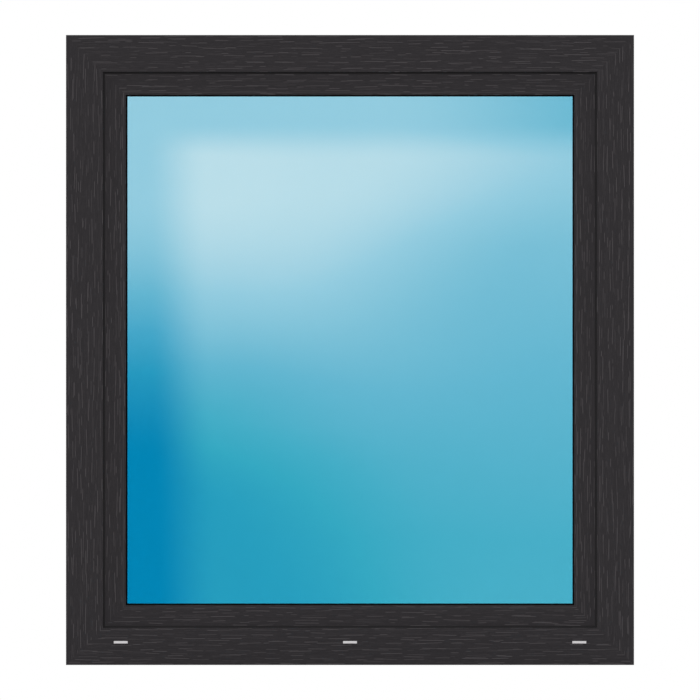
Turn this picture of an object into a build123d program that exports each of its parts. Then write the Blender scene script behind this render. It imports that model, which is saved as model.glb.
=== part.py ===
"""Single-sash window of foil-covered plastic profiles, seen from outside at -Y.

The outer frame, the sash and the glazing beads are lengths of hollow extruded profile, mitred at the corners.
The sash sits behind the frame's outer lip and laps over the frame on the room side.
Millimetres, +Z up, +X to the right seen from outside. The origin is the middle of the frame's underside.
"""

import os

from build123d import *

# Overall size of the frame and of the profile system
WIDTH = 1100.0
HEIGHT = 1220.0
FRAME_DEPTH = 70.0
WALL = 3.0
WEB = 2.0
EDGE_ROUND = 2.0

# Distances in the plane of the window, measured inwards from the frame's outer edge
FRAME_FACE = 72.0
LIP_RISE = 23.0
SASH_CLEARANCE = 12.0
SASH_OVERLAP = 8.0
SASH_FACE = 44.0
GASKET_SIGHT = 3.8
GLAZING_SIGHT = 3.2
GLASS_COVER = 17.0
GLASS_GAP = 5.0

# Distances in depth, measured from the outside face towards the room
LIP_DEPTH = 20.0
SEAL_GAP = 4.0
STOP_DEPTH = 16.0
GLAZING_SEAL = 4.0
PANE = 4.0
CAVITY = 16.0
BEAD_SEAL = 3.0
FLANGE_DEPTH = 20.0

# Grooves of the extruded profiles
CLIP_GROOVE_WIDTH = 6.0
CLIP_GROOVE_DEPTH = 4.0
CLIP_GROOVE_SPREAD = 30.0
SEAL_GROOVE_WIDTH = 3.5
SEAL_GROOVE_DEPTH = 2.5
SEAL_GROOVE_INSET = 5.5
FITTING_GROOVE_WIDTH = 12.0
FITTING_GROOVE_DEPTH = 7.0
BEAD_LEG = 3.0
BEAD_LEG_PLAY = 0.5
BEAD_LEG_INSET = 7.0

# Glazing bead and spacer bar
BEAD_NOSE = 5.0
BEAD_SLOPE = 6.0
SPACER_INSET = 4.5
SPACER_HEIGHT = 6.5
PANE_ARRIS = 0.5

# Drain slots in the bottom of the frame, with their caps
DRAIN_RISE = 44.0
DRAIN_FROM_EDGE = 106.0
DRAIN_SLOT_LENGTH = 23.0
DRAIN_SLOT_HEIGHT = 3.4
DRAIN_CAP_LENGTH = 27.0
DRAIN_CAP_HEIGHT = 4.8
DRAIN_CAP_DEPTH = 4.5
DRAIN_CAP_WALL = 0.8
DRAIN_CAP_BEVEL = 0.6
DRAIN_PLAY = 0.1

# Fixing holes through the frame into the wall
FIXING_RADIUS = 4.0
FIXING_FROM_CORNER = 250.0

# Handle on the room side of the sash
HANDLE_HEIGHT = 610.0
HANDLE_FROM_SASH_EDGE = 15.0
ROSE_LENGTH = 66.0
ROSE_WIDTH = 28.0
ROSE_DEPTH = 9.0
ROSE_BEVEL = 3.0
COLLAR_RADIUS = 11.5
COLLAR_DEPTH = 4.0
LEVER_REACH = 54.0
LEVER_DROP = 118.0
LEVER_NECK = 17.0
LEVER_BEND = 15.0
LEVER_CROOK = 7.0
LEVER_WIDTH = 20.0
LEVER_TIP_WIDTH = 16.0
LEVER_DEPTH = 13.0
LEVER_TIP_DEPTH = 10.0
LEVER_CORNER = 6.0
LEVER_BEVEL = 2.5

# Hinges on the room side, on the side away from the handle
HINGE_RADIUS = 7.5
HINGE_FROM_SASH = 9.0
HINGE_STANDOFF = 18.0
HINGE_ARM = 10.5
HINGE_PLATE = 3.0
HINGE_BEVEL = 1.0
HINGE_PLATE_WIDTH = 28.0
HINGE_LEAF_WIDTH = 26.0
HINGE_KNUCKLE = 32.0
HINGE_FROM_CORNER = 6.0
HINGE_GAP = 0.5
PIN_RADIUS = 3.5
PIN_HEAD = 3.0
PIN_HEAD_BEVEL = 1.5

# Stations in the plane, from the frame's outer edge inwards
rebate_floor = FRAME_FACE - LIP_RISE
sash_edge = rebate_floor + SASH_CLEARANCE
flange_edge = rebate_floor - SASH_OVERLAP
stop_tip = FRAME_FACE + SASH_FACE
glass_sight = stop_tip + GLAZING_SIGHT
glass_edge = glass_sight - GLASS_COVER
glass_rebate = glass_edge - GLASS_GAP

# Stations in depth, from the outside face towards the room
sash_front = LIP_DEPTH + SEAL_GAP
stop_back = sash_front + STOP_DEPTH
glass_front = stop_back + GLAZING_SEAL
cavity_front = glass_front + PANE
cavity_back = cavity_front + CAVITY
glass_back = cavity_back + PANE
bead_front = glass_back + BEAD_SEAL
flange_front = FRAME_DEPTH + SEAL_GAP
sash_back = flange_front + FLANGE_DEPTH
bead_leg_front = sash_back - BEAD_LEG_INSET - BEAD_LEG

MIDDLE = Pos(0, 0, HEIGHT / 2)
SECTION_PLANE = Plane(origin=(0, -FRAME_DEPTH / 2, 0), x_dir=(0, 0, 1), z_dir=(-1, 0, 0))
DRAIN_PLANE = Plane(origin=(0, -FRAME_DEPTH / 2, DRAIN_RISE), x_dir=(1, 0, 0), z_dir=(0, -1, 0))
ROOM_PLANE = Plane(origin=(0, 0, 0), x_dir=(1, 0, 0), z_dir=(0, 1, 0))
TURNS = {"bottom": 0, "left": 90, "top": 180, "right": -90}


def corner_face(*corners):
    """A face from corners (inwards, depth) or (inwards, depth, radius)."""
    face = make_face(Polyline([corner[:2] for corner in corners], close=True))
    for corner in corners:
        if len(corner) == 3:
            vertex = face.vertices().sort_by_distance((corner[0], corner[1], 0))[0]
            face = fillet(vertex, corner[2])
    return face


def rectangle(inwards, depth):
    """A rectangular face between two stations in the plane and two in depth."""
    return corner_face(
        (inwards[0], depth[0]),
        (inwards[1], depth[0]),
        (inwards[1], depth[1]),
        (inwards[0], depth[1]),
    )


def mitred_bar(section, side):
    """A length of profile along one side of the window, cut at 45 degrees at both ends."""
    upright = side in ("left", "right")
    length, span = (HEIGHT, WIDTH) if upright else (WIDTH, HEIGHT)
    reach = glass_sight + WALL
    bar = extrude(SECTION_PLANE * section, length / 2, both=True)
    mitre = make_face(
        Polyline(
            (-length / 2, 0),
            (length / 2, 0),
            (length / 2 - reach, reach),
            (reach - length / 2, reach),
            close=True,
        )
    )
    bar = bar & extrude(Plane.XZ * mitre, FRAME_DEPTH + sash_back, both=True)
    return MIDDLE * Rot(0, TURNS[side], 0) * Pos(0, 0, -span / 2) * bar


def ring(section):
    """One closed loop of a profile round the window."""
    loop = mitred_bar(section, "bottom")
    for side in ("left", "top", "right"):
        loop = loop + mitred_bar(section, side)
    return loop


def frame_section():
    """Outer frame: outside lip, rebate for the sash, chambers, and clip grooves on the outer edge."""
    outline = corner_face(
        (0, 0, EDGE_ROUND / 2),
        (FRAME_FACE, 0, EDGE_ROUND),
        (FRAME_FACE, LIP_DEPTH, EDGE_ROUND / 2),
        (rebate_floor, LIP_DEPTH),
        (rebate_floor, FRAME_DEPTH, EDGE_ROUND),
        (0, FRAME_DEPTH, EDGE_ROUND / 2),
    )
    front_web = LIP_DEPTH - SEAL_GROOVE_DEPTH - WALL
    lip_web = DRAIN_RISE - DRAIN_CAP_HEIGHT
    chamber_foot = CLIP_GROOVE_DEPTH + WALL
    rear_web = FRAME_DEPTH - LIP_DEPTH
    chambers = [
        rectangle((WALL, lip_web - WEB), (WALL, front_web)),
        rectangle((lip_web, FRAME_FACE - WALL), (WALL, front_web)),
        rectangle((chamber_foot, rebate_floor - WALL), (front_web + WEB, rear_web - WEB)),
        rectangle((chamber_foot, rebate_floor - WALL), (rear_web, FRAME_DEPTH - WALL)),
    ]
    seal_groove = rectangle(frame_seal_groove(), (LIP_DEPTH - SEAL_GROOVE_DEPTH, LIP_DEPTH))
    clip_grooves = [
        rectangle((0, CLIP_GROOVE_DEPTH), (middle - CLIP_GROOVE_WIDTH / 2, middle + CLIP_GROOVE_WIDTH / 2))
        for middle in (FRAME_DEPTH / 2 - CLIP_GROOVE_SPREAD / 2, FRAME_DEPTH / 2 + CLIP_GROOVE_SPREAD / 2)
    ]
    return outline - chambers - [seal_groove] - clip_grooves


def frame_seal_groove():
    """Where the frame's gasket is held, behind the tip of the lip."""
    return FRAME_FACE - SEAL_GROOVE_INSET - SEAL_GROOVE_WIDTH, FRAME_FACE - SEAL_GROOVE_INSET


def sash_seal_groove():
    """Where the sash's own gasket is held, behind the edge of its flange."""
    return flange_edge + WALL, flange_edge + WALL + SEAL_GROOVE_WIDTH


def stop_seal_groove():
    """Where the outer glazing gasket is held, behind the tip of the glass stop."""
    return stop_tip - SEAL_GROOVE_INSET - SEAL_GROOVE_WIDTH, stop_tip - SEAL_GROOVE_INSET


def sash_section():
    """Sash: glass stop outside, glazing rebate, fitting groove and a flange over the frame indoors."""
    outline = corner_face(
        (sash_edge, sash_front),
        (stop_tip, sash_front, EDGE_ROUND),
        (stop_tip, stop_back),
        (glass_rebate, stop_back),
        (glass_rebate, sash_back),
        (flange_edge, sash_back, EDGE_ROUND * 2),
        (flange_edge, flange_front, EDGE_ROUND / 2),
        (sash_edge, flange_front),
    )
    stop_web = stop_back - SEAL_GROOVE_DEPTH - WALL
    groove_front = flange_front - FITTING_GROOVE_WIDTH - WEB / 2
    groove_foot = sash_edge + FITTING_GROOVE_DEPTH
    chamber_head = glass_rebate - WALL
    chambers = [
        rectangle((sash_edge + WALL, stop_tip - WALL), (sash_front + WALL, stop_web)),
        rectangle((sash_edge + WALL, chamber_head), (stop_web + WEB, groove_front - WEB)),
        rectangle((groove_foot + WALL, chamber_head), (groove_front, flange_front - WEB / 2)),
        rectangle(
            (flange_edge + WALL, chamber_head - WALL),
            (flange_front + SEAL_GROOVE_DEPTH + WEB, sash_back - WALL),
        ),
    ]
    fitting_groove = rectangle((sash_edge, groove_foot), (groove_front, groove_front + FITTING_GROOVE_WIDTH))
    seal_groove = rectangle(sash_seal_groove(), (flange_front, flange_front + SEAL_GROOVE_DEPTH))
    stop_groove = rectangle(stop_seal_groove(), (stop_back - SEAL_GROOVE_DEPTH, stop_back))
    bead_groove = rectangle(
        (glass_rebate - BEAD_LEG - BEAD_LEG_PLAY, glass_rebate),
        (bead_leg_front - BEAD_LEG_PLAY, bead_leg_front + BEAD_LEG + BEAD_LEG_PLAY),
    )
    return outline - chambers - [fitting_groove, seal_groove, stop_groove, bead_groove]


def bead_section():
    """Glazing bead: a hollow wedge with a leg clipped into the rebate floor, which presses on the glass."""
    nose = bead_front + BEAD_NOSE
    outline = corner_face(
        (glass_rebate, bead_front),
        (stop_tip, bead_front),
        (stop_tip, nose, EDGE_ROUND),
        (stop_tip - BEAD_SLOPE, sash_back, EDGE_ROUND * 2),
        (glass_rebate, sash_back),
    )
    leg = rectangle(
        (glass_rebate - BEAD_LEG, glass_rebate + WEB),
        (bead_leg_front, bead_leg_front + BEAD_LEG),
    )
    chamber = corner_face(
        (glass_rebate + WEB, bead_front + WEB),
        (stop_tip - WEB, bead_front + WEB),
        (stop_tip - WEB, nose),
        (stop_tip - BEAD_SLOPE - WEB, sash_back - WEB),
        (glass_rebate + WEB, sash_back - WEB),
    )
    return outline + leg - chamber


def frame_gasket_section():
    """Gasket on the frame's lip: a foot in its groove and a fin that shows and meets the sash."""
    groove = frame_seal_groove()
    foot = rectangle(groove, (LIP_DEPTH - SEAL_GROOVE_DEPTH, LIP_DEPTH))
    fin = corner_face(
        (groove[0] - WALL / 2, LIP_DEPTH),
        (FRAME_FACE, LIP_DEPTH),
        (FRAME_FACE + GASKET_SIGHT, sash_front - SEAL_GAP / 4),
        (FRAME_FACE + GASKET_SIGHT, sash_front),
        (groove[0], sash_front),
    )
    return foot + fin


def sash_gasket_section():
    """Gasket under the sash flange: a foot in its groove and a bulb that meets the frame's room side."""
    groove = sash_seal_groove()
    foot = rectangle(groove, (flange_front, flange_front + SEAL_GROOVE_DEPTH))
    bulb = corner_face(
        (groove[0] - WALL / 2, flange_front),
        (groove[0], FRAME_DEPTH, SEAL_GAP / 4),
        (groove[1], FRAME_DEPTH, SEAL_GAP / 4),
        (groove[1] + WALL / 2, flange_front),
    )
    return foot + bulb


def outer_glazing_section():
    """Gasket between glass stop and outer pane, with a sloping lip that shows round the glass."""
    groove = stop_seal_groove()
    foot = rectangle(groove, (stop_back - SEAL_GROOVE_DEPTH, stop_back))
    lip = corner_face(
        (groove[0] - WALL / 2, stop_back),
        (stop_tip, stop_back),
        (glass_sight, glass_front - GLAZING_SEAL / 4),
        (glass_sight, glass_front),
        (groove[0], glass_front),
    )
    return foot + lip


def inner_glazing_section():
    """Gasket between inner pane and glazing bead, with a sloping lip that shows round the glass."""
    return corner_face(
        (stop_tip - SEAL_GROOVE_INSET, glass_back),
        (glass_sight, glass_back),
        (glass_sight, glass_back + BEAD_SEAL / 3),
        (stop_tip, bead_front),
        (stop_tip - SEAL_GROOVE_INSET, bead_front),
    )


def pane(front):
    """One sheet of glass with its edges lightly ground."""
    sheet = Box(WIDTH - 2 * glass_edge, PANE, HEIGHT - 2 * glass_edge)
    sheet = chamfer(sheet.edges(), PANE_ARRIS)
    return MIDDLE * Pos(0, front + PANE / 2 - FRAME_DEPTH / 2, 0) * sheet


def spacer_section():
    """Hollow bar that holds the two panes apart."""
    foot = glass_edge + SPACER_INSET
    outline = rectangle((foot, foot + SPACER_HEIGHT), (cavity_front, cavity_back))
    hollow = rectangle(
        (foot + WEB / 2, foot + SPACER_HEIGHT - WEB / 2),
        (cavity_front + WEB / 2, cavity_back - WEB / 2),
    )
    return outline - hollow


def drain_places():
    """Distances of the drain slots from the middle of the bottom rail."""
    reach = WIDTH / 2 - DRAIN_FROM_EDGE
    return {"left": -reach, "centre": 0, "right": reach}


def drain_face(length, height):
    """A slot outline on the outside face, facing outwards."""
    return DRAIN_PLANE * SlotOverall(length, height)


def drain_cap(place):
    """Cap over a drain slot: a hood that is open below, on a back plate with a sleeve through the wall."""
    hood = extrude(DRAIN_PLANE * Rectangle(DRAIN_CAP_LENGTH, DRAIN_CAP_HEIGHT), DRAIN_CAP_DEPTH)
    hood = chamfer(hood.faces().sort_by(Axis.Y)[0].edges(), DRAIN_CAP_BEVEL)
    hollow_length = DRAIN_CAP_LENGTH - 2 * DRAIN_CAP_WALL
    hollow_face = DRAIN_PLANE.offset(DRAIN_CAP_WALL) * Pos(0, -DRAIN_CAP_WALL, 0)
    hollow = hollow_face * Rectangle(hollow_length, DRAIN_CAP_HEIGHT)
    hood = hood - extrude(hollow, DRAIN_CAP_DEPTH - 2 * DRAIN_CAP_WALL)
    sleeve_length = DRAIN_SLOT_LENGTH - 2 * DRAIN_PLAY
    sleeve_height = DRAIN_SLOT_HEIGHT - 2 * DRAIN_PLAY
    sleeve = extrude(drain_face(sleeve_length, sleeve_height), -(WALL + DRAIN_CAP_WALL))
    bore = drain_face(sleeve_length - 2 * DRAIN_CAP_WALL, sleeve_height - 2 * DRAIN_CAP_WALL)
    through = extrude(bore, -(WALL + 2 * DRAIN_CAP_WALL)) + extrude(bore, 2 * DRAIN_CAP_WALL)
    return Pos(place, 0, 0) * (hood + sleeve - through)


def fixing_hole(side, along):
    """A round hole from the outer edge of the frame through to the rebate."""
    span = WIDTH if side in ("left", "right") else HEIGHT
    hole = Cylinder(FIXING_RADIUS, rebate_floor + WALL, align=(Align.CENTER, Align.CENTER, Align.MIN))
    return MIDDLE * Rot(0, TURNS[side], 0) * Pos(along, 0, -span / 2 - WALL / 2) * hole


def frame_bar(side):
    """One length of the outer frame with the holes that belong to it."""
    bar = mitred_bar(frame_section(), side)
    if side == "bottom":
        slot = extrude(drain_face(DRAIN_SLOT_LENGTH, DRAIN_SLOT_HEIGHT), -(WALL + WEB))
        return bar - [Pos(place, 0, 0) * slot for place in drain_places().values()]
    length = HEIGHT if side in ("left", "right") else WIDTH
    reach = length / 2 - FIXING_FROM_CORNER
    return bar - [fixing_hole(side, along) for along in (-reach, reach)]


def room_side(inwards, depth, height, hand):
    """A point on the room side, at a distance inwards from the left (-1) or right (1) edge of the frame."""
    return Pos(hand * (WIDTH / 2 - inwards), depth - FRAME_DEPTH / 2, height)


def handle_rose():
    """Flat base of the handle, with a bevelled rim."""
    rose = extrude(ROOM_PLANE * SlotOverall(ROSE_LENGTH, ROSE_WIDTH, 90), ROSE_DEPTH)
    rose = chamfer(rose.faces().sort_by(Axis.Y)[-1].edges(), ROSE_BEVEL)
    return handle_place() * rose


def handle_place():
    """The handle's spindle, on the sash stile."""
    return room_side(sash_edge + HANDLE_FROM_SASH_EDGE, sash_back, HANDLE_HEIGHT, 1)


def handle_lever():
    """Neck and grip in one piece that narrows to its tip, with a round collar that turns on the rose."""
    beyond_tip = -LEVER_DROP - LEVER_CORNER
    side_view = corner_face(
        (ROSE_DEPTH, LEVER_NECK / 2),
        (LEVER_REACH, LEVER_NECK / 2, LEVER_BEND),
        (LEVER_REACH, beyond_tip),
        (LEVER_REACH - LEVER_TIP_DEPTH, beyond_tip),
        (LEVER_REACH - LEVER_DEPTH, -LEVER_NECK / 2, LEVER_CROOK),
        (ROSE_DEPTH, -LEVER_NECK / 2),
    )
    front_view = corner_face(
        (-LEVER_WIDTH / 2, LEVER_NECK),
        (LEVER_WIDTH / 2, LEVER_NECK),
        (LEVER_TIP_WIDTH / 2, -LEVER_DROP, LEVER_CORNER),
        (-LEVER_TIP_WIDTH / 2, -LEVER_DROP, LEVER_CORNER),
    )
    lever = extrude(Plane.YZ * side_view, LEVER_WIDTH, both=True)
    lever = lever & extrude(Plane.XZ * front_view, LEVER_REACH + LEVER_CORNER, both=True)
    foot = lever.faces().sort_by(Axis.Y)[0]
    lever = chamfer(lever.edges() - foot.edges(), LEVER_BEVEL)
    collar = extrude(ROOM_PLANE.offset(ROSE_DEPTH) * Circle(COLLAR_RADIUS), COLLAR_DEPTH)
    return handle_place() * (lever + collar)


def hinge_axis(height):
    """A point on the hinge line."""
    return room_side(flange_edge - HINGE_FROM_SASH, FRAME_DEPTH + HINGE_STANDOFF, height, -1)


def knuckle(low, high):
    """A round hinge barrel with a hole for its pin."""
    barrel = Cylinder(HINGE_RADIUS, high - low) - Cylinder(PIN_RADIUS, high - low)
    return hinge_axis((low + high) / 2) * barrel


def frame_hinge(low, high, plate_low, plate_high):
    """Hinge part on the frame: a plate on its room side and a barrel on a short arm."""
    plate_inwards = flange_edge - HINGE_GAP - HINGE_PLATE_WIDTH / 2
    plate = Box(HINGE_PLATE_WIDTH, HINGE_PLATE, plate_high - plate_low)
    plate = fillet(plate.edges().filter_by(Axis.Y), HINGE_PLATE)
    plate = chamfer(plate.faces().sort_by(Axis.Y)[-1].edges(), HINGE_BEVEL)
    middle = (plate_low + plate_high) / 2
    part = room_side(plate_inwards, FRAME_DEPTH + HINGE_PLATE / 2, middle, -1) * plate
    arm = Box(HINGE_ARM, HINGE_STANDOFF, high - low)
    arm_inwards = flange_edge - HINGE_FROM_SASH
    part = part + room_side(arm_inwards, FRAME_DEPTH + HINGE_STANDOFF / 2, (low + high) / 2, -1) * arm
    bore = hinge_axis((low + high) / 2) * Cylinder(PIN_RADIUS, high - low)
    return part + knuckle(low, high) - bore


def sash_hinge(low, high):
    """Hinge part on the sash: a leaf on its room side that runs out to a barrel."""
    barrel_inwards = flange_edge - HINGE_FROM_SASH
    reach = HINGE_LEAF_WIDTH + HINGE_FROM_SASH
    leaf = Box(reach, HINGE_PLATE, high - low)
    leaf = fillet(leaf.edges().filter_by(Axis.Y).group_by(Axis.X)[-1], HINGE_PLATE)
    leaf = chamfer(leaf.faces().sort_by(Axis.Y)[-1].edges(), HINGE_BEVEL)
    part = room_side(barrel_inwards + reach / 2, sash_back + HINGE_PLATE / 2, (low + high) / 2, -1) * leaf
    bore = hinge_axis((low + high) / 2) * Cylinder(PIN_RADIUS, high - low)
    return part + knuckle(low, high) - bore


def hinge_pin(low, high):
    """Pin through the barrels, with a bevelled head on top."""
    shaft = hinge_axis((low + high) / 2) * Cylinder(PIN_RADIUS, high - low)
    head = Cylinder(HINGE_RADIUS, PIN_HEAD)
    head = chamfer(head.edges().group_by(Axis.Z)[-1], PIN_HEAD_BEVEL)
    return shaft + hinge_axis(high + PIN_HEAD / 2) * head


def hinges():
    """Both hinges: a pivot at the foot of the sash and a fork at its head."""
    foot = flange_edge + HINGE_FROM_CORNER
    foot_middle = foot + HINGE_KNUCKLE
    foot_top = foot_middle + HINGE_GAP + HINGE_KNUCKLE
    head = HEIGHT - flange_edge - HINGE_FROM_CORNER
    head_middle = head - HINGE_KNUCKLE
    head_foot = head_middle - HINGE_GAP - HINGE_KNUCKLE
    return {
        "hinge_bottom_frame_part": frame_hinge(foot, foot_middle, foot, foot_top),
        "hinge_bottom_sash_part": sash_hinge(foot_middle + HINGE_GAP, foot_top),
        "hinge_bottom_pin": hinge_pin(foot, foot_top),
        "hinge_top_frame_part": frame_hinge(head_foot, head_middle - HINGE_GAP, head_foot, head),
        "hinge_top_sash_part": sash_hinge(head_middle, head),
        "hinge_top_pin": hinge_pin(head_foot, head),
    }


def window():
    """All pieces of the window by name."""
    pieces = {
        "frame_head": frame_bar("top"),
        "frame_bottom_rail": frame_bar("bottom"),
        "frame_left_jamb": frame_bar("left"),
        "frame_right_jamb": frame_bar("right"),
        "sash_top_rail": mitred_bar(sash_section(), "top"),
        "sash_bottom_rail": mitred_bar(sash_section(), "bottom"),
        "sash_left_stile": mitred_bar(sash_section(), "left"),
        "sash_right_stile": mitred_bar(sash_section(), "right"),
        "glass_outer_pane": pane(glass_front),
        "glass_inner_pane": pane(cavity_back),
        "glass_spacer": ring(spacer_section()),
        "frame_gasket": ring(frame_gasket_section()),
        "sash_gasket": ring(sash_gasket_section()),
        "outer_glazing_gasket": ring(outer_glazing_section()),
        "inner_glazing_gasket": ring(inner_glazing_section()),
        "handle_rose": handle_rose(),
        "handle_lever": handle_lever(),
    }
    for side in TURNS:
        pieces[f"glazing_bead_{side}"] = mitred_bar(bead_section(), side)
    for name, place in drain_places().items():
        pieces[f"drain_cap_{name}"] = drain_cap(place)
    pieces.update(hinges())
    return pieces


def main():
    os.makedirs("parts", exist_ok=True)
    for name, piece in window().items():
        export_step(piece, f"parts/{name}.step")


main()
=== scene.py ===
import math

import bpy
from mathutils import Matrix, Vector

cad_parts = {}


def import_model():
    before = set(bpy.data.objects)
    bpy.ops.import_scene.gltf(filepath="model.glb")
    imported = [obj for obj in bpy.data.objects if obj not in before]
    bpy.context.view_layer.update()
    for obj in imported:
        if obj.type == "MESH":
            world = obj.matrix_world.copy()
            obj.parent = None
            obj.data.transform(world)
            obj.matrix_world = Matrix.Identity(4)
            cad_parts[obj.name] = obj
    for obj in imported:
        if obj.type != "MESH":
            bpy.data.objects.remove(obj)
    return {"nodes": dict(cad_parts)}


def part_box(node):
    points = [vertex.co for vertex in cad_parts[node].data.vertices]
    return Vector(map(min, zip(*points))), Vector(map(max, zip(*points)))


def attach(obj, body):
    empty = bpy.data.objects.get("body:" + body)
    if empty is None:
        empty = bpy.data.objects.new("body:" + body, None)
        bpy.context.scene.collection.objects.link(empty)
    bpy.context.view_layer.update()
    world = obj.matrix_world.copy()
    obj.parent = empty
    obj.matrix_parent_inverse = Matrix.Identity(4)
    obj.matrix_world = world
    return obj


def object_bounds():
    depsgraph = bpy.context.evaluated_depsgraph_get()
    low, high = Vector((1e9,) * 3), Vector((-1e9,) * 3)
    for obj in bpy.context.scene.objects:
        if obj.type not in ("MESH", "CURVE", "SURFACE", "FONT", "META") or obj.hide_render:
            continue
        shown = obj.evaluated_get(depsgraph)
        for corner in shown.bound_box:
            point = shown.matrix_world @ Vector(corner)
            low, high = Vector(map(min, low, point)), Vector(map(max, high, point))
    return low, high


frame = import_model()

cad_low, cad_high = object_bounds()
NODES = frame["nodes"]

# Colours as the eye reads them, in parts of 255, and how far bloom, texture and brushing shift them
# The first is the foil in the furrows beside the grain lines, darkened as painted shade of the embossing
FOIL_FURROW_SHADE = (38, 36, 38)
FOIL_DARK = (41, 39, 41)
FOIL_LINE = (66, 63, 65)
PROFILE_CORE = (45, 44, 45)
SEAL_BLACK = (3, 4, 5)
SEAL_SHADOW = (34, 33, 34)
SEAL_BLOOM = 5
SPACER_DARK = (40, 41, 43)
# Dark dots of the spacer's holes, painted shade inside them
SPACER_HOLE_SHADE = (12, 12, 13)
DRAIN_GREY = (205, 202, 204)
DRAIN_SHADE = 8
SATIN_METAL = (196, 197, 200)
SCREW_METAL = (150, 151, 152)
METAL_SHADE = 14
CLEAR_PANE = (250, 253, 253)
FLOOR_PALE = (238, 238, 237)
FLOOR_DIM = (140, 140, 139)

# Colours of the painted reflection of the sky in the glass, from the deepest blue to the palest, each with
# its
# place on the scale of brightness: those of the strip at the left of the glass, and those of the rest
STRIP_REFLECTION_TINTS = {
    0.01: (0, 132, 181),
    0.21: (39, 153, 192),
    0.37: (70, 167, 202),
    0.53: (101, 182, 210),
    0.79: (150, 205, 225),
}
GLASS_REFLECTION_TINTS = {
    0.01: (0, 131, 180),
    0.21: (39, 158, 191),
    0.29: (54, 169, 195),
    0.37: (70, 174, 200),
    0.53: (101, 183, 210),
    0.79: (150, 205, 225),
    1.00: (190, 224, 235),
}

# Share of red, green and blue that the coated panes mirror, and how strongly they bend light
GLASS_SHEEN = (0.02, 0.35, 0.5, 1.0)
GLASS_BEND = 1.45

# Brightness of the painted sky reflection in the glass: two heights in shares of the pane, and the
# brightness at both
LEFT_STRIP = (0.28, 0.82, 0.01, 0.8)
NEAR_REFLECTION = (0.2, 0.82, 0.2, 1.01)
FAR_REFLECTION = (0.14, 0.67, 0.385, 0.62)
FAR_RISE = (0.66, 0.86, 0.0, 0.15)
BAND_RISE = (0.26, 0.5, -0.03, 0.05)
BAND_FALL = (0.5, 0.76, 0.0, -0.08)

# The same from left to right: how far the band reaches, and the brightness of the strip above
BAND_START = (0.2, 0.5, 0.0, 1.0)
BAND_END = (0.5, 0.95, 1.0, 0.0)
TOP_STRIP = (0.56, 1.1, 0.79, 0.55)

# Where one part of the painted reflection passes into the next, in shares of the pane, and how far that edge
# leans
REFLECTION_EDGE = (0.06, 0.62)
REFLECTION_TURN = 0.36
REFLECTION_LEANS = (0.9, -0.5)
TOP_EDGE = (0.86, 0.935)
LEFT_EDGE = (0.08, 0.22)
LEFT_LEAN = 0.03

# Grain of the foil in two layers of lines and one of fine pores, with lengths in metres: the lanes that they
# lie in, the cells along a lane that hold one each, their width, and their faintest and strongest
GRAIN_LAYERS = (
    {"pitch": 0.0098, "cell_length": 0.058, "width": 0.0017, "strengths": (0.25, 1.1)},
    {"pitch": 0.0131, "cell_length": 0.058, "width": 0.0017, "strengths": (0.25, 1.1)},
    {"pitch": 0.0037, "cell_length": 0.021, "width": 0.0006, "strengths": (0.1, 0.6)},
)

# Depth of the grain, and how much of the bare profile shows at the frame's outer edge, in metres
GRAIN_RELIEF = 0.00015
BARE_EDGE = 0.0012

# Lines of the grain: place across, half length and soft end in shares of their cell, and slope to the bar
LINE_PLACES = (0.15, 0.85)
LINE_HALF_LENGTHS = (0.1, 0.48)
LINE_END = 0.069
LINE_SLOPES = (-0.035, 0.035)

# Where a line fades out beside its middle, where the furrow beside it does, and how far its edge frays, in
# shares of its width
LINE_FADE = (0.3, 0.7)
FURROW_FADE = (0.8, 1.8)
LINE_FRAY = 0.41

# How much fibres change the strength of a line, and how deep its furrow is against its height
LINE_FIBRES = (0.7, 1.3)
FURROW_DEPTH = 0.2

# Fibres and soft streaks of the foil in a metre, how much they shade, and the range that noise keeps to
FIBRES_ALONG = 55
FIBRES_ACROSS = 1900
FIBRE_SHADE = 0.14
STREAKS_ALONG = 9
STREAKS_ACROSS = 260
STREAK_SHADE = 0.12
NOISE_RANGE = (0.25, 0.75)

# Painted highlights beside the inner edges of frame and sash, as fine light lines: distance and width in
# metres, and strength
HIGHLIGHT_FROM_EDGE = 0.005
HIGHLIGHT_WIDTH = 0.0019
HIGHLIGHT_STRENGTHS = {"frame_left_jamb": 0.12, "sash_left_stile": 0.3}

# Fine texture of the other finishes: marks in a metre, and relief in metres
BLOOM_MARKS = 160
BLOOM_RELIEF = 0.0001
MOULDING_MARKS = 1800
MOULDING_RELIEF = 0.00004
BRUSH_MARKS_ALONG = 18
BRUSH_MARKS_ACROSS = 900
BRUSH_RELIEF = 0.00002

# How strongly relief shows on each finish, and how many finer layers plain and fine noise have
GRAIN_BUMP = 0.5
BLOOM_BUMP = 0.3
MOULDING_BUMP = 0.4
BRUSH_BUMP = 0.4
PLAIN_LAYERS = 2.0
FINE_LAYERS = 3.0

# Roughness of the finishes, and the gloss of the matt ones
FOIL_ROUGHNESS = (0.48, 0.62)
SEAL_ROUGHNESS = (0.6, 0.8)
METAL_ROUGHNESS = (0.26, 0.4)
MOULDING_ROUGHNESS = 0.45
FLOOR_ROUGHNESS = 0.8
FOIL_GLOSS = 0.12
SEAL_GLOSS = 0.05
FLOOR_GLOSS = 0.1

# Two rows of fine holes in the spacer bar, painted as dark dots of shade, in metres
HOLE_PITCH = 0.004
HOLE_ROW = 0.0035
HOLE_RADIUS = 0.0007

# Raised-head screws that hold the hinges: sizes in metres, and how finely they are divided
SCREW_RADIUS = 0.0036
SCREW_RIM = 0.0008
SCREW_CROWN = 0.0007
SCREW_SHANK = 0.0012
SCREW_EDGE = 0.00016
SCREW_SIDES = 32
SCREW_EDGE_STEPS = 2

# Crown of a screw: the width of a step in shares of the radius, and the share of its height in each
CROWN_STEP = 0.28
CROWN_RISES = (0.5, 0.35, 0.15)

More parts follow.
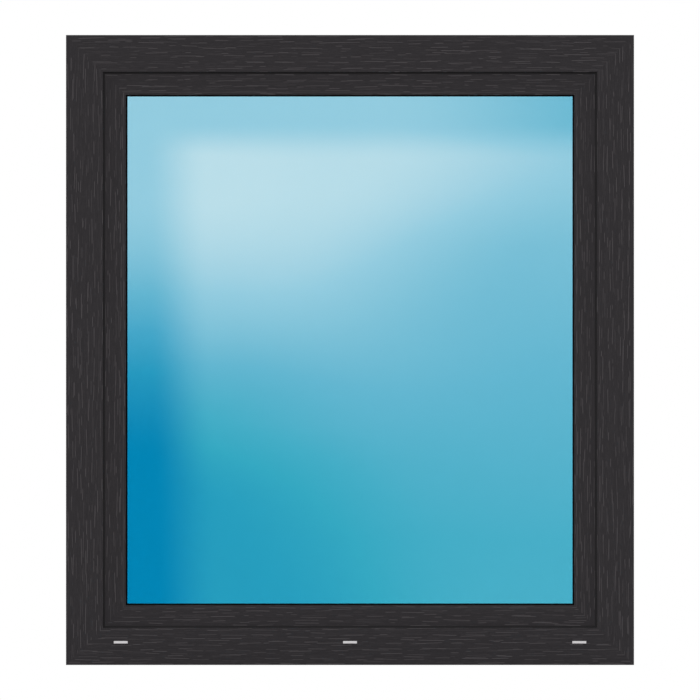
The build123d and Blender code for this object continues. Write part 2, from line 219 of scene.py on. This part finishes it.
# Cross recess of a screw: sizes in metres, and the share of its top that its foot keeps
RECESS_LENGTH = 0.0044
RECESS_WIDTH = 0.0012
RECESS_DEPTH = 0.0012
RECESS_TAPER = 0.55

# Turn from one screw to the next, the angle from which an edge is sharp, and the part of a face's normal
# from which the face counts as facing a direction
SCREW_TURN = math.radians(37)
SHARP_EDGE = math.radians(30)
FACING = 0.5
UPWARDS = Vector((0, 0, 1))

# Where the screws sit on the hinges, in metres, and how thick the plate on the frame is
PLATE_SCREW_INSET = 0.0068
LEAF_SCREW_INSET = 0.0115
SCREW_FROM_END = 0.0085
HINGE_PLATE = 0.003

# Camera and studio: sizes in metres, and the level of the light all round
PICTURE_SPAN = 1.3556
CAMERA_DISTANCE = 4.0
LAMP_DISTANCE = 4.2
FLOOR_SIZE = 30.0
AMBIENT_LEVEL = 0.1

# Lamps: the direction they shine from, the light they give, and their width in degrees
LAMPS = {
    "front_lamp": ((-0.02, -1.0, 0.07), 0.84, 7),
    "top_lamp": ((-0.2, 0.05, 1.0), 0.4, 40),
    "left_lamp": ((-1.0, 0.2, 0.4), 0.5, 40),
    "right_lamp": ((1.0, 0.2, 0.4), 0.5, 40),
    "room_lamp": ((0.3, 1.0, 0.4), 0.5, 30),
}


def linear(colour):
    """Linear light of a colour given in parts of 255, by the sRGB curve."""
    shares = [part / 255 for part in colour]
    light = [share / 12.92 if share <= 0.04045 else ((share + 0.055) / 1.055) ** 2.4 for share in shares]
    return (*light, 1.0)


def shifted(colour, amount):
    """A colour made lighter, or darker by a negative amount."""
    return tuple(part + amount for part in colour)


class Surface:
    """One material and the nodes that make it."""

    def __init__(self, name):
        self.material = bpy.data.materials.new(name)
        self.material.use_nodes = True
        self.tree = self.material.node_tree
        self.shader = self.tree.nodes["Principled BSDF"]

    def set(self, **sockets):
        """Puts a fixed value, or the output of a node, on the shader's sockets."""
        for name, value in sockets.items():
            self.feed(self.shader.inputs[name.replace("_", " ")], value)

    def feed(self, socket, value):
        """Puts a fixed value, or the output of a node, on one socket."""
        if isinstance(value, bpy.types.NodeSocket):
            self.tree.links.new(value, socket)
        else:
            socket.default_value = value

    def node(self, kind, *inputs, **settings):
        """A node with its settings, fed in the order of its inputs; None leaves an input as it is."""
        made = self.tree.nodes.new(kind)
        for name, value in settings.items():
            setattr(made, name, value)
        for socket, value in zip(made.inputs, inputs):
            if value is not None:
                self.feed(socket, value)
        return made

    def place(self, scale=(1, 1, 1), shift=(0, 0, 0)):
        """The point on the piece in metres, shifted and then scaled along each axis."""
        point = self.node("ShaderNodeTexCoord").outputs["Object"]
        moved = self.node("ShaderNodeVectorMath", point, shift, operation="SUBTRACT").outputs[0]
        return self.node("ShaderNodeVectorMath", moved, scale, operation="MULTIPLY").outputs[0]

    def split(self, point):
        """The three coordinates of a point, by the name of their axis."""
        return self.node("ShaderNodeSeparateXYZ", point).outputs

    def noise(self, point, layers=PLAIN_LAYERS):
        """Noise with about one mark in each unit of a point's coordinates."""
        made = self.node("ShaderNodeTexNoise")
        self.feed(made.inputs["Vector"], point)
        made.inputs["Scale"].default_value = 1.0
        made.inputs["Detail"].default_value = layers
        return made.outputs["Fac"]

    def stretched_noise(self, along, marks_along, marks_across, layers=PLAIN_LAYERS):
        """Noise drawn out along one axis, with its marks in a metre along and across it."""
        stretch = [marks_along if axis == along else marks_across for axis in "XYZ"]
        return self.noise(self.place(scale=stretch), layers)

    def dice(self, *numbers):
        """Random red, green and blue, the same for the same numbers."""
        cast = self.node("ShaderNodeCombineXYZ", *numbers).outputs[0]
        thrown = self.node("ShaderNodeTexWhiteNoise", cast, noise_dimensions="3D").outputs["Color"]
        return self.node("ShaderNodeSeparateColor", thrown).outputs

    def soft(self, value, low, high, to_low=0.0, to_high=1.0):
        """A gentle rise from to_low to to_high as a value goes from low to high."""
        rise = self.node("ShaderNodeMapRange", value, low, high, to_low, to_high)
        rise.interpolation_type = "SMOOTHSTEP"
        return rise.outputs["Result"]

    def steady(self, value, low, high, to_low=0.0, to_high=1.0):
        """An even rise from to_low to to_high as a value goes from low to high."""
        return self.node("ShaderNodeMapRange", value, low, high, to_low, to_high).outputs["Result"]

    def between(self, share, low, high):
        """A number from low to high as a share goes from 0 to 1."""
        return self.steady(share, 0, 1, low, high)

    def maths(self, operation, first, second=None):
        """One sum with one or two numbers."""
        return self.node("ShaderNodeMath", first, second, operation=operation).outputs[0]

    def total(self, *values):
        """The sum of several numbers."""
        result = values[0]
        for value in values[1:]:
            result = self.maths("ADD", result, value)
        return result

    def product(self, *values):
        """Several numbers multiplied."""
        result = values[0]
        for value in values[1:]:
            result = self.maths("MULTIPLY", result, value)
        return result

    def blend(self, share, first, second):
        """A number between two others."""
        made = self.node("ShaderNodeMix", share, None, first, second, data_type="FLOAT")
        return made.outputs[0]

    def tint(self, share, first, second):
        """A colour between two others."""
        made = self.node("ShaderNodeMix", share, data_type="RGBA")
        ends = [socket for socket in made.inputs if socket.type == "RGBA"]
        for socket, colour in zip(ends, (first, second)):
            self.feed(socket, colour)
        return next(socket for socket in made.outputs if socket.type == "RGBA")

    def ramp(self, share, colours):
        """A colour from several that each have a place on the scale from 0 to 1."""
        made = self.node("ShaderNodeValToRGB", share)
        stops = made.color_ramp.elements
        while len(stops) < len(colours):
            stops.new(0.5)
        for stop, place in zip(stops, sorted(colours)):
            stop.position = place
            stop.color = linear(colours[place])
        return made.outputs["Color"]

    def relief(self, height, depth, strength):
        """Bumps from a pattern between 0 and 1, with their depth in metres, for the shader's normal."""
        made = self.node("ShaderNodeBump")
        made.inputs["Strength"].default_value = strength
        made.inputs["Distance"].default_value = depth
        self.feed(made.inputs["Height"], height)
        return made.outputs["Normal"]


def grain_lines(foil, lengthwise, across, fibres, pitch, cell_length, width, strengths):
    """Short straight lines with frayed edges, one in each cell of a lane, with a furrow along both sides
    that is darkened as painted shade.
    """
    lanes = foil.maths("DIVIDE", across, pitch)
    lane = foil.maths("FLOOR", lanes)
    cells = foil.total(foil.maths("DIVIDE", lengthwise, cell_length), foil.dice(lane, pitch)["Red"])
    cell = foil.maths("FLOOR", cells)
    form = foil.dice(lane, cell, pitch)
    stand = foil.dice(cell, pitch, lane)

    half_length = foil.between(form["Red"], *LINE_HALF_LENGTHS)
    slack = foil.maths("SUBTRACT", 0.5, half_length)
    middle = foil.total(foil.product(slack, foil.between(stand["Red"], -1, 1)), 0.5)
    along = foil.maths("SUBTRACT", foil.maths("FRACT", cells), middle)
    inside = foil.maths("SUBTRACT", half_length, foil.maths("ABSOLUTE", along))
    inside = foil.soft(inside, 0, LINE_END)

    leaning = foil.product(along, cell_length, foil.between(stand["Green"], *LINE_SLOPES))
    beside = foil.maths("SUBTRACT", foil.maths("FRACT", lanes), foil.between(form["Green"], *LINE_PLACES))
    aside = foil.maths("SUBTRACT", foil.product(beside, pitch), leaning)
    fray = width * LINE_FRAY / 2
    aside = foil.total(foil.maths("ABSOLUTE", aside), foil.steady(fibres, *NOISE_RANGE, -fray, fray))

    line = foil.soft(aside, *[width * share for share in LINE_FADE], 1 + FURROW_DEPTH, 0)
    # The furrow sinks the relief and darkens the colour beside the line as painted shade
    shaded_furrow = foil.soft(aside, *[width * share for share in FURROW_FADE], FURROW_DEPTH, 0)
    strength = foil.product(inside, foil.between(form["Blue"], *strengths))
    broken = foil.steady(fibres, *NOISE_RANGE, *LINE_FIBRES)
    return foil.product(strength, broken, foil.maths("SUBTRACT", line, shaded_furrow))


def from_outer_edge(foil, parts):
    """How far a point lies inwards from the outer edge of the frame."""
    middle = (cad_low + cad_high) / 2
    reach = cad_high - middle
    from_side = foil.maths("ABSOLUTE", foil.maths("SUBTRACT", parts["X"], middle.x))
    from_end = foil.maths("ABSOLUTE", foil.maths("SUBTRACT", parts["Z"], middle.z))
    return foil.maths(
        "MINIMUM", foil.maths("SUBTRACT", reach.x, from_side), foil.maths("SUBTRACT", reach.z, from_end)
    )


def painted_edge_highlights(foil, parts, inwards):
    """Painted highlights: fine light lines on the outside, beside the inner edges of frame and sash."""
    highlights = []
    for bar, strength in HIGHLIGHT_STRENGTHS.items():
        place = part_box(bar)[1].x - cad_low.x - HIGHLIGHT_FROM_EDGE
        aside = foil.maths("ABSOLUTE", foil.maths("SUBTRACT", inwards, place))
        highlights.append(foil.soft(aside, *[HIGHLIGHT_WIDTH * share for share in LINE_FADE], strength, 0))
    outside = foil.maths("LESS_THAN", parts["Y"], 0)
    return foil.product(foil.total(*highlights), outside)


def woodgrain_foil(name, along):
    """Dark foil with fine lighter grain along one axis of the window."""
    foil = Surface(name)
    parts = foil.split(foil.place())
    across = foil.total(*[parts[axis] for axis in "XYZ" if axis != along])
    fibres = foil.stretched_noise(along, FIBRES_ALONG, FIBRES_ACROSS)
    streaks = foil.stretched_noise(along, STREAKS_ALONG, STREAKS_ACROSS)
    fibre_shade = foil.steady(fibres, *NOISE_RANGE, -FIBRE_SHADE, FIBRE_SHADE)
    streak_shade = foil.steady(streaks, *NOISE_RANGE, -STREAK_SHADE, STREAK_SHADE)
    lines = foil.total(*[grain_lines(foil, parts[along], across, fibres, **layer) for layer in GRAIN_LAYERS])
    inwards = from_outer_edge(foil, parts)
    bare = foil.maths("LESS_THAN", inwards, BARE_EDGE)
    lines = foil.product(lines, foil.maths("SUBTRACT", 1, bare))
    # The height takes in the painted highlights beside the inner edges, which lighten the colour and raise
    # the relief there
    height = foil.total(lines, fibre_shade, streak_shade, painted_edge_highlights(foil, parts, inwards))
    grain = foil.steady(height, -FURROW_DEPTH, 1)
    plain = FURROW_DEPTH / (1 + FURROW_DEPTH)
    colour = foil.ramp(grain, {0: FOIL_FURROW_SHADE, plain: FOIL_DARK, 1: FOIL_LINE})
    foil.set(Base_Color=foil.tint(bare, colour, linear(PROFILE_CORE)))
    foil.set(Roughness=foil.blend(grain, *FOIL_ROUGHNESS), Specular_IOR_Level=FOIL_GLOSS)
    foil.set(Normal=foil.relief(grain, GRAIN_RELIEF, GRAIN_BUMP))
    return foil.material


def painted_reflection_brightness(glass, right, up):
    """Brightness of the painted sky reflection in the glass: a light patch at its upper left that fades
    downwards, and a strip above.
    """
    near = glass.soft(up, *NEAR_REFLECTION)
    far = glass.total(glass.steady(up, *FAR_REFLECTION), glass.soft(up, *FAR_RISE))
    above = glass.maths("SUBTRACT", up, REFLECTION_TURN)
    lean = glass.maths("MAXIMUM", *[glass.product(above, slope) for slope in REFLECTION_LEANS])
    field = glass.blend(glass.soft(glass.maths("SUBTRACT", right, lean), *REFLECTION_EDGE), near, far)
    band = glass.total(glass.soft(up, *BAND_RISE), glass.soft(up, *BAND_FALL))
    band = glass.product(band, glass.soft(right, *BAND_START), glass.soft(right, *BAND_END))
    return glass.blend(glass.soft(up, *TOP_EDGE), glass.total(field, band), glass.soft(right, *TOP_STRIP))


def glaze(glass, colour):
    """Makes a surface smooth coated glass of a colour."""
    glass.set(Base_Color=colour, Roughness=0.0, IOR=GLASS_BEND)
    glass.set(Transmission_Weight=1.0, Specular_Tint=GLASS_SHEEN)


def glass_with_painted_reflection():
    """Outer pane: blue glass whose shades are a painted reflection of the sky, with a pale patch at its
    upper left.
    """
    glass = Surface("glass_with_painted_reflection")
    low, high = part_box("glass_outer_pane")
    size = high - low
    parts = glass.split(glass.place(scale=(1 / size.x, 1, 1 / size.z), shift=low))
    right, up = parts["X"], parts["Z"]
    # The pane's colour is a painted reflection of the sky: a deep blue strip at the left, and a lighter
    # field beside it
    strip = glass.ramp(glass.soft(up, *LEFT_STRIP), STRIP_REFLECTION_TINTS)
    field = glass.ramp(painted_reflection_brightness(glass, right, up), GLASS_REFLECTION_TINTS)
    from_left = glass.total(right, glass.product(up, LEFT_LEAN))
    glaze(glass, glass.tint(glass.soft(from_left, *LEFT_EDGE), strip, field))
    return glass.material


def clear_glass():
    """Inner pane: clear, with a faint cool cast."""
    glass = Surface("clear_glass")
    glaze(glass, linear(CLEAR_PANE))
    return glass.material


def seal_rubber(name, colour):
    """Matt rubber with a faint bloom."""
    rubber = Surface(name)
    bloom = rubber.noise(rubber.place(scale=[BLOOM_MARKS] * 3), FINE_LAYERS)
    rubber.set(Base_Color=rubber.tint(bloom, linear(colour), linear(shifted(colour, SEAL_BLOOM))))
    rubber.set(Roughness=rubber.blend(bloom, *SEAL_ROUGHNESS), Specular_IOR_Level=SEAL_GLOSS)
    rubber.set(Normal=rubber.relief(bloom, BLOOM_RELIEF, BLOOM_BUMP))
    return rubber.material


def moulded_plastic():
    """Light grey moulding with a fine eroded texture."""
    plastic = Surface("moulded_plastic")
    texture = plastic.noise(plastic.place(scale=[MOULDING_MARKS] * 3))
    shade = linear(shifted(DRAIN_GREY, -DRAIN_SHADE))
    plastic.set(Base_Color=plastic.tint(texture, shade, linear(DRAIN_GREY)))
    plastic.set(Roughness=MOULDING_ROUGHNESS)
    plastic.set(Normal=plastic.relief(texture, MOULDING_RELIEF, MOULDING_BUMP))
    return plastic.material


def brush(metal, colour, along):
    """Makes a surface metal brushed along one axis, and gives back the shades of its brushing."""
    brushing = metal.stretched_noise(along, BRUSH_MARKS_ALONG, BRUSH_MARKS_ACROSS, FINE_LAYERS)
    metal.set(Metallic=1.0, Roughness=metal.blend(brushing, *METAL_ROUGHNESS))
    metal.set(Normal=metal.relief(brushing, BRUSH_RELIEF, BRUSH_BUMP))
    return metal.tint(brushing, linear(shifted(colour, -METAL_SHADE)), linear(colour))


def satin_metal(name, colour, along):
    """Plain metal with a faint brushing along one axis."""
    metal = Surface(name)
    metal.set(Base_Color=brush(metal, colour, along))
    return metal.material


def spacer_metal():
    """Dark coated bar with two rows of fine holes that face the space between the panes, painted on as dark
    dots of shade.
    """
    metal = Surface("spacer_metal")
    shades = brush(metal, SPACER_DARK, "Y")
    low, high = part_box("glass_spacer")
    parts = metal.split(metal.place(shift=(low + high) / 2))
    pitches = metal.maths("DIVIDE", metal.total(parts["X"], parts["Z"]), HOLE_PITCH)
    along = metal.product(metal.maths("SUBTRACT", metal.maths("FRACT", pitches), 0.5), HOLE_PITCH)
    across = metal.maths("SUBTRACT", metal.maths("ABSOLUTE", parts["Y"]), HOLE_ROW)
    off_centre = metal.maths("SQRT", metal.total(metal.product(along, along), metal.product(across, across)))
    # Dark dots where the holes are, painted shade inside them
    hole_shade = metal.soft(off_centre, HOLE_RADIUS / 2, HOLE_RADIUS, 1, 0)
    metal.set(Base_Color=metal.tint(hole_shade, shades, linear(SPACER_HOLE_SHADE)))
    return metal.material


def dress(node, material):
    """Gives a CAD node its material."""
    slots = NODES[node].data.materials
    slots.clear()
    slots.append(material)


def dress_all():
    """Chooses a finish for every CAD node."""
    rail_foil = woodgrain_foil("woodgrain_foil_rails", "X")
    upright_foil = woodgrain_foil("woodgrain_foil_uprights", "Z")
    glazing_seal = seal_rubber("glazing_seal", SEAL_BLACK)
    frame_seal = seal_rubber("frame_seal", SEAL_SHADOW)
    drain = moulded_plastic()
    fitting = satin_metal("fitting_metal", SATIN_METAL, "Z")
    finishes = {
        "glass_outer_pane": glass_with_painted_reflection(),
        "glass_inner_pane": clear_glass(),
        "glass_spacer": spacer_metal(),
        "outer_glazing_gasket": glazing_seal,
        "inner_glazing_gasket": glazing_seal,
        "frame_gasket": frame_seal,
        "sash_gasket": frame_seal,
    }
    for node in NODES:
        if node in finishes:
            dress(node, finishes[node])
        elif node.startswith("drain_cap"):
            dress(node, drain)
        elif node.startswith(("handle", "hinge")):
            dress(node, fitting)
        elif node.endswith(("left", "right", "jamb", "stile")):
            dress(node, upright_foil)
        else:
            dress(node, rail_foil)


def deselect():
    """Leaves nothing selected."""
    bpy.ops.object.select_all(action="DESELECT")


def pick(piece):
    """Makes one piece the only selected and active one."""
    deselect()
    piece.select_set(True)
    bpy.context.view_layer.objects.active = piece


def select_facing(piece, direction):
    """Selects the faces of the mesh being edited that face a direction."""
    bpy.ops.mesh.select_mode(type="FACE")
    bpy.ops.mesh.select_all(action="DESELECT")
    bpy.ops.object.mode_set(mode="OBJECT")
    for polygon in piece.data.polygons:
        polygon.select = polygon.normal.dot(direction) > FACING
    bpy.ops.object.mode_set(mode="EDIT")


def apply_modifier(piece, kind, **settings):
    """Adds a modifier with its settings and applies it."""
    pick(piece)
    made = piece.modifiers.new(kind.lower(), kind)
    for name, value in settings.items():
        setattr(made, name, value)
    bpy.ops.object.modifier_apply(modifier=made.name)


def recess_cutter():
    """A cross that narrows downwards, to cut the driver's recess."""
    arms = []
    for turn in (0, math.pi / 2):
        deselect()
        top = (0, 0, SCREW_RIM + SCREW_CROWN)
        size = (RECESS_LENGTH, RECESS_WIDTH, 2 * RECESS_DEPTH)
        bpy.ops.mesh.primitive_cube_add(size=1, location=top, rotation=(0, 0, turn), scale=size)
        arm = bpy.context.object
        bpy.ops.object.transform_apply()
        bpy.ops.object.mode_set(mode="EDIT")
        select_facing(arm, -UPWARDS)
        bpy.ops.transform.resize(value=(RECESS_TAPER, RECESS_TAPER, 1))
        bpy.ops.object.mode_set(mode="OBJECT")
        arms.append(arm)
    cross, other = arms
    apply_modifier(cross, "BOOLEAN", operation="UNION", object=other, solver="EXACT")
    bpy.data.objects.remove(other)
    return cross


def screw_head():
    """A screw head with a crowned top and a cross recess, standing up from the origin along Z."""
    deselect()
    height = SCREW_RIM + SCREW_SHANK
    bpy.ops.mesh.primitive_cylinder_add(
        vertices=SCREW_SIDES, radius=SCREW_RADIUS, depth=height, location=(0, 0, SCREW_RIM - height / 2)
    )
    screw = bpy.context.object
    bpy.ops.object.transform_apply()
    bpy.ops.object.mode_set(mode="EDIT")
    select_facing(screw, UPWARDS)
    for rise in CROWN_RISES:
        bpy.ops.mesh.inset(thickness=SCREW_RADIUS * CROWN_STEP)
        bpy.ops.transform.translate(value=(0, 0, SCREW_CROWN * rise))
    bpy.ops.object.mode_set(mode="OBJECT")
    cutter = recess_cutter()
    apply_modifier(screw, "BOOLEAN", operation="DIFFERENCE", object=cutter, solver="EXACT")
    bpy.data.objects.remove(cutter)
    bevel = {"width": SCREW_EDGE, "segments": SCREW_EDGE_STEPS}
    apply_modifier(screw, "BEVEL", limit_method="ANGLE", angle_limit=SHARP_EDGE, **bevel)
    bpy.ops.object.shade_smooth_by_angle(angle=SHARP_EDGE)
    return screw


def screw_places():
    """Where the hinges are screwed down: a name, and a point on the room side of a plate or leaf."""
    places = {}
    plate_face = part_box("frame_left_jamb")[1].y + HINGE_PLATE
    for hinge in ("bottom", "top"):
        plate_low, plate_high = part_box(f"hinge_{hinge}_frame_part")
        leaf_low, leaf_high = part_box(f"hinge_{hinge}_sash_part")
        plate_x = plate_low.x + PLATE_SCREW_INSET
        leaf_x = leaf_high.x - LEAF_SCREW_INSET
        places[f"hinge_{hinge}_plate_screw_lower"] = (plate_x, plate_face, plate_low.z + SCREW_FROM_END)
        places[f"hinge_{hinge}_plate_screw_upper"] = (plate_x, plate_face, plate_high.z - SCREW_FROM_END)
        places[f"hinge_{hinge}_leaf_screw_lower"] = (leaf_x, leaf_high.y, leaf_low.z + SCREW_FROM_END)
        places[f"hinge_{hinge}_leaf_screw_upper"] = (leaf_x, leaf_high.y, leaf_high.z - SCREW_FROM_END)
    return places


def hinge_screws():
    """One screw modelled and copied to every place on the hinges, each turned a little further."""
    pattern = screw_head()
    pattern.data.materials.append(satin_metal("screw_metal", SCREW_METAL, "X"))
    facing_room = Matrix.Rotation(-math.pi / 2, 4, "X")
    for number, (name, place) in enumerate(screw_places().items()):
        screw = bpy.data.objects.new(name, pattern.data.copy())
        bpy.context.scene.collection.objects.link(screw)
        pick(screw)
        turn = Matrix.Rotation(number * SCREW_TURN, 4, "Z")
        screw.matrix_world = Matrix.Translation(place) @ facing_room @ turn
        bpy.ops.object.transform_apply()
        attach(screw, "root")
    bpy.data.objects.remove(pattern)


def camera():
    """Level camera straight in front of the window, with no perspective."""
    data = bpy.data.cameras.new("camera")
    data.type = "ORTHO"
    data.ortho_scale = PICTURE_SPAN
    made = bpy.data.objects.new("camera", data)
    made.location = (0, -CAMERA_DISTANCE, (cad_low.z + cad_high.z) / 2)
    made.rotation_euler = (math.pi / 2, 0, 0)
    bpy.context.scene.collection.objects.link(made)
    bpy.context.scene.camera = made


def lamp(name, direction, level, spread):
    """A soft lamp far off that shines at the window, and that glass and metal don't mirror."""
    data = bpy.data.lights.new(name, "SUN")
    data.angle = math.radians(spread)
    data.energy = level * math.pi
    made = bpy.data.objects.new(name, data)
    away = Vector(direction).normalized()
    made.location = (cad_low + cad_high) / 2 + away * LAMP_DISTANCE
    made.rotation_euler = away.to_track_quat("Z", "Y").to_euler()
    made.visible_glossy = False
    made.visible_transmission = False
    bpy.context.scene.collection.objects.link(made)


def world():
    """Even light all round, white where it is looked at."""
    made = bpy.data.worlds.new("studio")
    bpy.context.scene.world = made
    made.use_nodes = True
    tree = made.node_tree
    background = tree.nodes["Background"]
    path = tree.nodes.new("ShaderNodeLightPath")
    seen = path.outputs["Is Camera Ray"]
    for kind in ("Is Glossy Ray", "Is Transmission Ray"):
        either = tree.nodes.new("ShaderNodeMath")
        either.operation = "MAXIMUM"
        tree.links.new(seen, either.inputs[0])
        tree.links.new(path.outputs[kind], either.inputs[1])
        seen = either.outputs[0]
    level = tree.nodes.new("ShaderNodeMapRange")
    level.inputs["To Min"].default_value = AMBIENT_LEVEL
    tree.links.new(seen, level.inputs["Value"])
    tree.links.new(level.outputs["Result"], background.inputs["Strength"])
    background.inputs["Color"].default_value = (1, 1, 1, 1)


def floor():
    """Plain pale floor under the window, which throws little light back at it."""
    deselect()
    bpy.ops.mesh.primitive_plane_add(size=FLOOR_SIZE, location=(0, 0, cad_low.z))
    made = bpy.context.object
    made.name = "floor"
    pale = Surface("floor")
    bounced = pale.node("ShaderNodeLightPath").outputs["Is Diffuse Ray"]
    pale.set(Base_Color=pale.tint(bounced, linear(FLOOR_PALE), linear(FLOOR_DIM)))
    pale.set(Roughness=FLOOR_ROUGHNESS, Specular_IOR_Level=FLOOR_GLOSS)
    made.data.materials.append(pale.material)


def studio():
    """Camera, lamps, world and floor."""
    camera()
    for name, (direction, level, spread) in LAMPS.items():
        lamp(name, direction, level, spread)
    world()
    floor()
    bpy.context.scene.view_settings.view_transform = "Standard"


dress_all()
hinge_screws()
studio()
